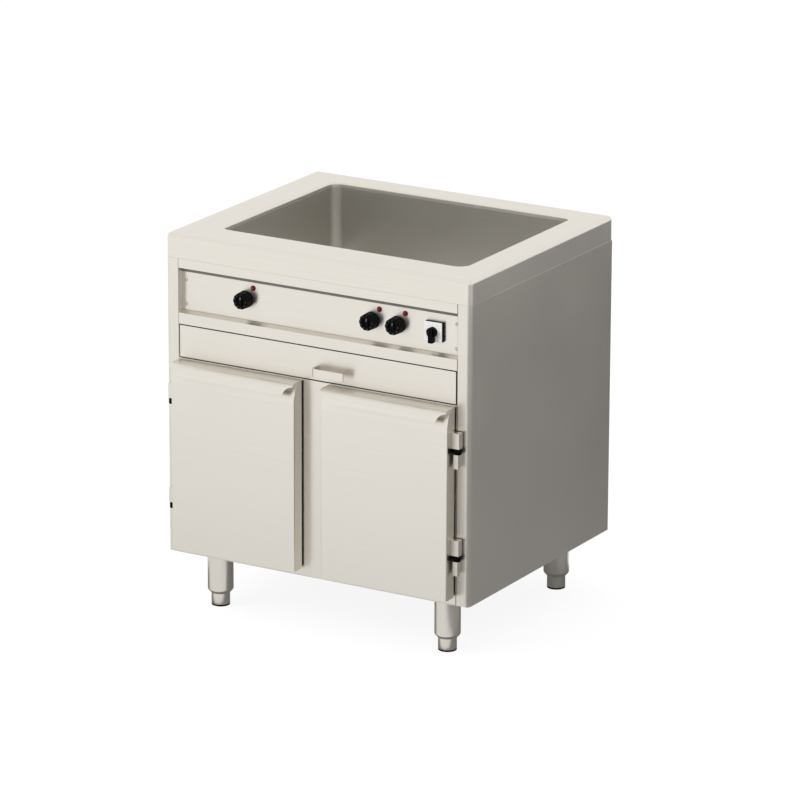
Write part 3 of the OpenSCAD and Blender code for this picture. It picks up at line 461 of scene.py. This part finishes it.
def merged(node):
    """A copy of the CAD node's mesh, its loose triangles joined into whole faces."""
    bm = bmesh.new()
    bm.from_mesh(frame["nodes"][node].data)
    bmesh.ops.remove_doubles(bm, verts=bm.verts, dist=NODE_MERGE)
    bmesh.ops.dissolve_limit(bm, angle_limit=FLAT_ANGLE, verts=bm.verts, edges=bm.edges)
    return bm


def sharp_edges(bm, least):
    """The edges whose two faces turn by more than an angle."""
    return [edge for edge in bm.edges if len(edge.link_faces) == 2 and edge.calc_face_angle() > least]


def broken(node, ease, segments=2):
    """The CAD node's own form with its sharp edges broken."""
    bm = merged(node)
    bevel(bm, sharp_edges(bm, EDGE_ANGLE), ease, segments)
    return bm


def eased(node, material, ease=CUT_EASE, segments=2):
    """A piece in the CAD node's own form with its sharp edges broken."""
    finish_piece(node + "_piece", broken(node, ease, segments), material, node)


def moulded(name, tone, roughness, grain=MOULD_GRAIN, bump=MOULD_BUMP, shine=MOULD_SHINE):
    """Moulded plastic or rubber: fine spark-eroded grain, with small changes in tone and gloss."""
    mat, nodes, links, shader = new_material(name)
    shader.inputs["Specular IOR Level"].default_value = shine
    coords = nodes.new("ShaderNodeTexCoord").outputs["Object"]
    fine = noise(nodes, links, coords, MOULD_DETAIL, grain)
    broad = noise(nodes, links, coords, MOULD_DETAIL, MOULD_BROAD)
    links.new(tinted(nodes, links, broad, tone, MOULD_TINT), shader.inputs["Base Color"])
    links.new(between(nodes, links, fine, roughness, MOULD_SPREAD), shader.inputs["Roughness"])
    bumped(nodes, links, fine, bump, MOULD_DEEP, shader)
    return mat


black_moulding = moulded("black_moulding", BLACK_TONE, BLACK_ROUGHNESS, shine=BLACK_SHINE)
for corner in CORNERS:
    eased(corner + "_foot", tube_steel, FOOT_EASE, segments=3)
    eased(corner + "_pad", black_moulding, PAD_EASE, segments=3)

# Carcass: base, two sides folded round the front as posts, and a back with vent slots. Satin sheet about
# 1.5 mm thick, folded on a press, welded and ground flush, with every cut edge broken by hand. A row of
# domed screws down each side holds the back.
SIDES = ("left", "right")
ACROSS_ROUGHNESS = 0.3
ACROSS_SPREAD = (0.0, 0.35, 1.0)
UPRIGHT_ROUGHNESS = 0.34
UPRIGHT_SPREAD = (1.0, 1.0, 0.0)
THIN_EASE = 0.0003
VENT_ROUND = 0.0024
SLOT_MARGIN = 0.002
SLOT_ALONG = 0.99
SLOT_CORNER = 1.0
BACK_SCREW_IN = 0.010
BACK_SCREW_ROWS = 5
BACK_SCREW_END = 0.03
DOME_RADIUS = 0.0042
DOME_HIGH = 0.0022
DOME_CROWN_OUT = 0.75
DOME_CROWN_UP = 0.85
DOME_CROWN_EASE = 0.0006
DOME_RIM_UP = 0.3
DOME_RIM_EASE = 0.0004
RECESS_RADIUS = 0.0015
RECESS_REACH = 1.01
RECESS_DEEP = 0.0012
RECESS_ARMS = 4
RECESS_LOBE = 0.45


def slotted(node, material, through, round_by):
    """A sheet whose slots have round ends: the slots' corner edges run through the sheet along an axis."""
    bm = merged(node)
    low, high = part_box(node)
    axis = "XYZ".index(through)
    across = [other for other in range(3) if other != axis]
    slot_corners = []
    for edge in sharp_edges(bm, SLOT_CORNER):
        ends = edge.verts[0].co - edge.verts[1].co
        middle = (edge.verts[0].co + edge.verts[1].co) / 2.0
        inside = all(low[i] + SLOT_MARGIN < middle[i] < high[i] - SLOT_MARGIN for i in across)
        if inside and abs(ends[axis]) > SLOT_ALONG * ends.length:
            slot_corners.append(edge)
    bevel(bm, slot_corners, round_by, segments=5)
    bevel(bm, sharp_edges(bm, EDGE_ANGLE), THIN_EASE, segments=2)
    finish_piece(node + "_piece", bm, material, node)


def dome_screw(place):
    """A domed screw head with a cross recess, its face along the place's z axis."""
    recess_floor = DOME_HIGH - RECESS_DEEP
    head = turned(softened([
        (0.0, recess_floor, 0.0),
        (RECESS_RADIUS, recess_floor, 0.0),
        (RECESS_RADIUS, DOME_HIGH, 0.0),
        (DOME_RADIUS * DOME_CROWN_OUT, DOME_HIGH * DOME_CROWN_UP, DOME_CROWN_EASE),
        (DOME_RADIUS, DOME_HIGH * DOME_RIM_UP, DOME_RIM_EASE),
        (DOME_RADIUS, 0.0, 0.0),
        (0.0, 0.0, 0.0),
    ], steps=3), steps=32)
    for vert in head.verts:
        if vert.co.z > recess_floor / 2.0 and vert.co.xy.length < RECESS_REACH * RECESS_RADIUS:
            turn = math.atan2(vert.co.y, vert.co.x)
            vert.co.xy *= 1.0 - RECESS_LOBE + RECESS_LOBE * math.cos(RECESS_ARMS * turn)
    bmesh.ops.transform(head, matrix=place, verts=head.verts)
    return head


sheet_x = steel("sheet_brushed_across", "X", SHEET_TONE, ACROSS_ROUGHNESS, spread=ACROSS_SPREAD)
sheet_z = steel("sheet_brushed_upright", "Z", SHEET_TONE, UPRIGHT_ROUGHNESS, spread=UPRIGHT_SPREAD)
eased("base_panel", sheet_x)
for side in SIDES:
    eased(side + "_side_panel", sheet_z)
slotted("back_panel", sheet_z, "Y", VENT_ROUND)
back_low, back_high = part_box("back_panel")
facing_back = Matrix.Rotation(-math.pi / 2.0, 4, "X")
back_screws_bm = bmesh.new()
for side_x in (back_low.x + BACK_SCREW_IN, back_high.x - BACK_SCREW_IN):
    for row in range(BACK_SCREW_ROWS):
        share = row / (BACK_SCREW_ROWS - 1.0)
        level = back_low.z + BACK_SCREW_END + share * (back_high.z - back_low.z - 2.0 * BACK_SCREW_END)
        place = Matrix.Translation((side_x, back_high.y, level)) @ facing_back
        add_shape(back_screws_bm, dome_screw(place))
finish_piece("back_panel_screws", back_screws_bm, bolt_steel, "back_panel", stands_for=False)

# Cupboard: a welded box of duller sheet with mineral wool round it, a slotted shelf on two ledges, and two
# sheathed heating elements under a slotted cover on its floor.
INNER_TONE = (0.62, 0.60, 0.56)
INNER_ROUGHNESS = 0.34
SLOT_ROUND = 0.0039
SHEATH_TONE = (0.30, 0.27, 0.235)
SHEATH_ROUGHNESS = 0.45
SHEATH_TINT = 0.2
WOOL_TONE = (0.52, 0.45, 0.24)
WOOL_TINT = 0.35
WOOL_ROUGHNESS = 0.92
WOOL_SPREAD = 0.05
WOOL_STRETCH = (60.0, 60.0, 600.0)
WOOL_DETAIL = 6.0
WOOL_BUMP = 0.6
WOOL_DEEP = 0.001
WOOL_EASE = 0.0025


def mineral_wool(name, tone):
    """Pressed mineral wool: matt, with matted fibres lying along the slab."""
    mat, nodes, links, shader = new_material(name)
    stretch = nodes.new("ShaderNodeMapping")
    stretch.inputs["Scale"].default_value = WOOL_STRETCH
    links.new(nodes.new("ShaderNodeTexCoord").outputs["Object"], stretch.inputs["Vector"])
    fibres = noise(nodes, links, stretch.outputs["Vector"], WOOL_DETAIL)
    links.new(tinted(nodes, links, fibres, tone, WOOL_TINT), shader.inputs["Base Color"])
    links.new(between(nodes, links, fibres, WOOL_ROUGHNESS, WOOL_SPREAD), shader.inputs["Roughness"])
    bumped(nodes, links, fibres, WOOL_BUMP, WOOL_DEEP, shader)
    return mat


inner_x = steel("inner_sheet_across", "X", INNER_TONE, INNER_ROUGHNESS)
inner_z = steel("inner_sheet_upright", "Z", INNER_TONE, INNER_ROUGHNESS)
sheath = steel("element_sheath", "Y", SHEATH_TONE, SHEATH_ROUGHNESS, SHEATH_TINT)
wool = mineral_wool("mineral_wool", WOOL_TONE)
eased("cupboard_liner", inner_z, THIN_EASE)
eased("insulation", wool, WOOL_EASE, segments=3)
eased("shelf_supports", inner_x, THIN_EASE)
eased("cupboard_heaters", sheath, THIN_EASE)
for node in ("shelf", "heater_cover"):
    slotted(node, inner_x, "Z", SLOT_ROUND)

# Face frame: one satin sheet with two door openings, its edges turned in to stiffen it. It is welded
# between the two posts, with the cupboard's box behind it.
eased("door_frame", sheet_x)

# Water well: deep basin with round corners, welded under the worktop's downturned edge. Its steel is set
# darker than the worktop's, a painted shade for the inside of the basin. A waste fitting and pipe drain it
# behind the cupboard, and a sheathed element lies under its floor.
# Well tone: darker than the sheet's, painted shade for the inside of the basin.
WELL_SHADE_TONE = (0.615, 0.60, 0.56)
WELL_ROUGHNESS = 0.34
FLANGE_EASE = 0.0004
well_shaded_steel = steel("well_sheet", "X", WELL_SHADE_TONE, WELL_ROUGHNESS)
eased("well_basin", well_shaded_steel)
eased("drain_flange", well_shaded_steel, FLANGE_EASE, segments=3)
eased("drain_pipe", inner_z, segments=3)
eased("well_heater", sheath, THIN_EASE)

# Worktop: 2 mm satin sheet with a rolled outer edge and a deep apron, its corners mitred and welded. It
# closes the carcass from above, and its downturned edge round the opening carries the well.
eased("worktop", sheet_x)

# Control recess: satin header rail, set-back panel with a grey strip in the gap over it, and a sill
# that slopes out to the drawer. The strip's grey is painted shade for the gap under the header, and that it
# is foam is a guess. Domed screws hold the panel at its ends.
STRIP_LAP = 0.004
STRIP_THICK = 0.002
STRIP_EASE = 0.0004
# Strip grey: painted shade in the gap under the header rail, on a strip guessed to be foam.
FOAM_AND_SHADE_TONE = (0.30, 0.29, 0.27)
FOAM_ROUGHNESS = 0.8
FOAM_GRAIN = 1400.0
FOAM_BUMP = 0.2
for node in ("header_rail", "control_panel", "sill_rail"):
    eased(node, sheet_x)
facing_front = Matrix.Rotation(math.pi / 2.0, 4, "X")
panel_low, panel_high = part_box("control_panel")
header_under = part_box("header_rail")[0].z
strip_low = (panel_low.x, panel_high.y, panel_high.z - STRIP_LAP)
strip_high = (panel_high.x, panel_high.y + STRIP_THICK, header_under)
strip_bm = slab(strip_low, strip_high, STRIP_EASE, segments=2)
# The grey strip paints the shade in the gap under the header rail.
foam_and_shade_grey = moulded("foam_and_shade_strip", FOAM_AND_SHADE_TONE, FOAM_ROUGHNESS, FOAM_GRAIN, FOAM_BUMP)
finish_piece("panel_gap_strip", strip_bm, foam_and_shade_grey, "control_panel", stands_for=False)
screws_low, screws_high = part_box("panel_screws")
screws_bm = bmesh.new()
for side_x in (screws_low.x + DOME_RADIUS, screws_high.x - DOME_RADIUS):
    for level in (screws_low.z + DOME_RADIUS, screws_high.z - DOME_RADIUS):
        add_shape(screws_bm, dome_screw(Matrix.Translation((side_x, panel_low.y, level)) @ facing_front))
finish_piece("panel_screws_piece", screws_bm, bolt_steel, "panel_screws")

# Thermostats: three bodies of pressed steel on the back of the control panel, each with a collar that
# carries a turned steel spindle out to its knob.
CONTROLS = ("well", "left", "right")
THERMOSTAT_EASE = 0.0008
SPINDLE_EASE = 0.0004
eased("thermostats", inner_x, THERMOSTAT_EASE, segments=3)
for control in CONTROLS:
    eased(control + "_spindle", bolt_steel, SPINDLE_EASE)

# Knobs: black moulded plastic with a skirt, ten finger flutes, a dished face and a bar to grip, pushed onto
# the spindles. Degrees are printed in grey on the face, and a white line marks the setting.
SKIRT_HIGH = 0.004
SKIRT_EASE = 0.0006
SKIRT_STEP_IN = 0.0004
SKIRT_STEP_UP = 0.0003
KNOB_TAPER = 0.001
KNOB_RINGS = 5
FACE_WIDTH = 0.008
FACE_EASE = 0.0014
DISH_DEEP = 0.003
DISH_RIM_EASE = 0.0006
DISH_FLOOR_EASE = 0.001
FLUTES = 10
FLUTE_RADIUS = 0.005
FLUTE_BITE = 0.0011
FLUTE_UP = 0.0002
FLUTE_FACE = 0.6
GRIP_WIDTH = 0.009
GRIP_EASE = 0.0009
POINTER_WIDTH = 0.0012
POINTER_LONG = 0.006
POINTER_IN = 0.001
PRINT_RISE = 0.00006
PRINT_ROUGHNESS = 0.5
PRINT_SHINE = 0.2
PRINT_MERGE = 0.000001
GREY_PRINT = (0.12, 0.12, 0.115)
WHITE_PRINT = (0.4, 0.4, 0.39)
FIGURE_SIZE = 0.0036
FIGURE_STEPS = 3
FIGURE_OUT = 0.45
FIGURES = ("0", "30", "40", "50", "60", "70", "80", "90")
FIGURE_SWEEP = math.radians(270.0)


def lettering(text, size, place):
    """A printed figure, centred on the place's origin and facing along its z axis."""
    curve = bpy.data.curves.new("figure", "FONT")
    curve.body = text
    curve.size = size
    curve.align_x = "CENTER"
    curve.align_y = "CENTER"
    curve.extrude = PRINT_RISE / 2.0
    curve.resolution_u = FIGURE_STEPS
    holder = bpy.data.objects.new("figure", curve)
    scene.collection.objects.link(holder)
    mesh = bpy.data.meshes.new_from_object(holder)
    shape = bmesh.new()
    shape.from_mesh(mesh)
    bmesh.ops.remove_doubles(shape, verts=shape.verts, dist=PRINT_MERGE)
    bmesh.ops.transform(shape, matrix=place, verts=shape.verts)
    bpy.data.objects.remove(holder)
    bpy.data.curves.remove(curve)
    bpy.data.meshes.remove(mesh)
    return shape


def fluted(radius, turn):
    """Radius of the knob's side at an angle: the lesser of the plain side and the nearest finger flute."""
    pitch = 2.0 * math.pi / FLUTES
    offset = (turn / pitch) % 1.0 * pitch - pitch / 2.0
    centre = radius + FLUTE_RADIUS - FLUTE_BITE
    reach = FLUTE_RADIUS ** 2 - (centre * math.sin(offset)) ** 2
    if reach <= 0.0:
        return radius
    return min(radius, centre * math.cos(offset) - math.sqrt(reach))


grey_print = moulded("grey_print", GREY_PRINT, PRINT_ROUGHNESS, shine=PRINT_SHINE)
white_print = moulded("white_print", WHITE_PRINT, PRINT_ROUGHNESS, shine=PRINT_SHINE)
for control in CONTROLS:
    knob = control + "_knob"
    knob_low, knob_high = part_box(knob)
    knob_radius = (knob_high.z - knob_low.z) / 2.0
    knob_depth = knob_high.y - knob_low.y
    face_radius = knob_radius - KNOB_TAPER
    dish_radius = face_radius - FACE_WIDTH
    knob_middle = (knob_low + knob_high) / 2.0
    knob_place = Matrix.Translation((knob_middle.x, knob_high.y, knob_middle.z)) @ facing_front
    body_rings = []
    for ring in range(1, KNOB_RINGS):
        share = ring / KNOB_RINGS
        ring_height = SKIRT_HIGH + share * (knob_depth - SKIRT_HIGH)
        body_rings.append((knob_radius - share * KNOB_TAPER, ring_height, 0.0))
    knob_bm = turned(softened([
        (0.0, 0.0, 0.0),
        (knob_radius, 0.0, SKIRT_EASE),
        (knob_radius, SKIRT_HIGH, SKIRT_EASE),
        (knob_radius - SKIRT_STEP_IN, SKIRT_HIGH + SKIRT_STEP_UP, 0.0),
        *body_rings,
        (face_radius, knob_depth, FACE_EASE),
        (dish_radius, knob_depth, DISH_RIM_EASE),
        (dish_radius, knob_depth - DISH_DEEP, DISH_FLOOR_EASE),
        (0.0, knob_depth - DISH_DEEP, 0.0),
    ]), steps=180)
    for vert in knob_bm.verts:
        radius = vert.co.xy.length
        if vert.co.z > SKIRT_HIGH + FLUTE_UP and radius > dish_radius + FLUTE_FACE * FACE_WIDTH:
            vert.co.xy *= fluted(radius, math.atan2(vert.co.y, vert.co.x)) / radius
    grip_half = math.sqrt(dish_radius ** 2 - (GRIP_WIDTH / 2.0) ** 2)
    grip_low = (-GRIP_WIDTH / 2.0, -grip_half, knob_depth - 2.0 * DISH_DEEP)
    grip_high = (GRIP_WIDTH / 2.0, grip_half, knob_depth)
    add_shape(knob_bm, slab(grip_low, grip_high, GRIP_EASE))
    bmesh.ops.transform(knob_bm, matrix=knob_place, verts=knob_bm.verts)
    finish_piece(knob + "_piece", knob_bm, black_moulding, knob)
    figures_bm = bmesh.new()
    figure_at = (0.0, dish_radius + FIGURE_OUT * FACE_WIDTH, knob_depth + PRINT_RISE / 2.0)
    for index, figure in enumerate(FIGURES):
        turn = FIGURE_SWEEP * index / (len(FIGURES) - 1.0)
        place = knob_place @ Matrix.Rotation(turn, 4, "Z") @ Matrix.Translation(figure_at)
        add_shape(figures_bm, lettering(figure, FIGURE_SIZE, place))
    finish_piece(knob + "_figures", figures_bm, grey_print, knob, stands_for=False)
    pointer_end = grip_half - POINTER_IN
    pointer_low = (-POINTER_WIDTH / 2.0, pointer_end - POINTER_LONG, knob_depth - PRINT_RISE)
    pointer_high = (POINTER_WIDTH / 2.0, pointer_end, knob_depth + PRINT_RISE)
    pointer_bm = slab(pointer_low, pointer_high, PRINT_RISE / 2.0, segments=1)
    bmesh.ops.transform(pointer_bm, matrix=knob_place, verts=pointer_bm.verts)
    finish_piece(knob + "_pointer", pointer_bm, white_print, knob, stands_for=False)

# Pilot lights: crimson moulded lenses, one beside each knob, with a flange against the panel and a dome
# over the lamp. The lamp's body goes through the panel and holds the lens there.
LENS_RADIUS = 0.005
LENS_FLANGE = 0.0015
LENS_EASE = 0.0006
LENS_STEPS = 8
LENS_TONE = (0.2, 0.0, 0.02)
LENS_ROUGHNESS = 0.22
LENS_GRAIN = 900.0
LENS_BUMP = 0.03
LENS_SHINE = 0.25
LENS_COAT = 0.25
LENS_COAT_ROUGHNESS = 0.08
lens_red = moulded("red_lens", LENS_TONE, LENS_ROUGHNESS, LENS_GRAIN, LENS_BUMP, LENS_SHINE)
lens_shader = lens_red.node_tree.nodes["Principled BSDF"]
lens_shader.inputs["Coat Weight"].default_value = LENS_COAT
lens_shader.inputs["Coat Roughness"].default_value = LENS_COAT_ROUGHNESS
pilots_low, pilots_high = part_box("pilot_lights")
lens_profile = softened([
    (0.0, panel_low.y - pilots_high.y, 0.0),
    (LENS_RADIUS, panel_low.y - pilots_high.y, 0.0),
    (LENS_RADIUS, 0.0, 0.0),
    (LENS_RADIUS + LENS_FLANGE, 0.0, 0.0),
    (LENS_RADIUS + LENS_FLANGE, LENS_FLANGE, LENS_EASE),
    (LENS_RADIUS, LENS_FLANGE, 0.0),
])
for step in range(1, LENS_STEPS):
    rise = step / LENS_STEPS * math.pi / 2.0
    lens_profile.append((LENS_RADIUS * math.cos(rise), LENS_FLANGE + LENS_RADIUS * math.sin(rise)))
lens_profile.append((0.0, LENS_FLANGE + LENS_RADIUS))
right_light = pilots_high.x - LENS_RADIUS - LENS_FLANGE
right_knob = sum(corner.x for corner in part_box("right_knob")) / 2.0
lights_bm = bmesh.new()
for control in CONTROLS:
    knob_low, knob_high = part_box(control + "_knob")
    light_x = (knob_low.x + knob_high.x) / 2.0 + right_light - right_knob
    light_z = (pilots_low.z + pilots_high.z) / 2.0
    place = Matrix.Translation((light_x, panel_low.y, light_z)) @ facing_front
    add_shape(lights_bm, turned(lens_profile, place, steps=40))
finish_piece("pilot_lights_piece", lights_bm, lens_red, "pilot_lights")

# Main switch: black moulded box on the panel with its contacts behind, a white moulded plate marked I and 0
# over it, and a black lever on a disc that turns in front of the plate.
SWITCH_EASE = 0.0006
LEVER_EASE = 0.0011
MARK_OUT = 0.0172
MARK_SIZE = 0.005
WHITE_TONE = (0.94, 0.935, 0.915)
WHITE_ROUGHNESS = 0.4
white_moulding = moulded("white_moulding", WHITE_TONE, WHITE_ROUGHNESS)
eased("switch_box", black_moulding, SWITCH_EASE, segments=3)
eased("switch_plate", white_moulding, segments=3)
eased("switch_lever", black_moulding, LEVER_EASE, segments=3)
switch_low, switch_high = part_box("switch_plate")
switch_middle = (switch_low + switch_high) / 2.0
marks_bm = bmesh.new()
for figure, aside, above in (("I", 0.0, MARK_OUT), ("0", -MARK_OUT, 0.0)):
    mark_at = (switch_middle.x + aside, switch_low.y - PRINT_RISE / 2.0, switch_middle.z + above)
    place = Matrix.Translation(mark_at) @ facing_front
    add_shape(marks_bm, lettering(figure, MARK_SIZE, place))
finish_piece(
    "switch_plate_marks", marks_bm, black_moulding, "switch_plate", stands_for=False,
)

# Drawer: shallow tray of dull sheet on two channel runners, a folded satin front and a flat steel bar for a
# handle, its left end rolled back to the front and its right end on a hidden foot.
FRONT_EASE = 0.0007
eased("drawer_runners", inner_x, THIN_EASE)
eased("drawer_box", inner_x, THIN_EASE)
eased("drawer_front", sheet_x, FRONT_EASE, segments=3)
eased("drawer_handle", sheet_x, FRONT_EASE, segments=3)

# Doors: a pressed satin skin with its top rolled back, wool, an inner pan with a raised field, a rubber
# seal round the pan, and a rolled hood along the top that serves as the pull.
CORE_EASE = 0.0008
FIELD_IN = 0.034
FIELD_RISE = 0.0028
FIELD_EASE = 0.0018
SEAL_EASE = 0.0018
RUBBER_TONE = (0.014, 0.013, 0.012)
RUBBER_ROUGHNESS = 0.62
RUBBER_GRAIN = 1400.0
RUBBER_BUMP = 0.15
rubber = moulded("door_rubber", RUBBER_TONE, RUBBER_ROUGHNESS, RUBBER_GRAIN, RUBBER_BUMP)
field_inset = Vector((FIELD_IN, 0.0, FIELD_IN))
field_rise = Vector((0.0, FIELD_RISE, 0.0))
for side in SIDES:
    eased(side + "_door_skin", sheet_x)
    eased(side + "_door_core", wool, CORE_EASE)
    pan_low, pan_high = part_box(side + "_door_pan")
    pan_bm = broken(side + "_door_pan", THIN_EASE)
    field_high = pan_high + field_rise - field_inset
    add_shape(pan_bm, slab(pan_low + field_inset, field_high, FIELD_EASE, segments=4))
    finish_piece(side + "_door_pan_piece", pan_bm, inner_z, side + "_door_pan")
    eased(side + "_door_seal", rubber, SEAL_EASE, segments=4)
    eased(side + "_door_lip", sheet_x)

# Hinges: solid steel lift-off blocks. The upper leaf is welded to the door and drops over the pin of the
# lower leaf on the post, with a black moulded washer between them.
LEAF_EASE = 0.0009
WASHER_EASE = 0.0012
for side in SIDES:
    eased(side + "_door_hinges", sheet_z, LEAF_EASE, segments=3)
eased("hinge_frame_leaves", sheet_z, LEAF_EASE, segments=3)
eased("hinge_washers", black_moulding, WASHER_EASE, segments=3)

# Cable gland: black moulded fitting for the supply cable, clamped through a hole in the base by a lock nut
# inside, with a cap below.
GLAND_EASE = 0.0006
eased("cable_gland", black_moulding, GLAND_EASE, segments=3)
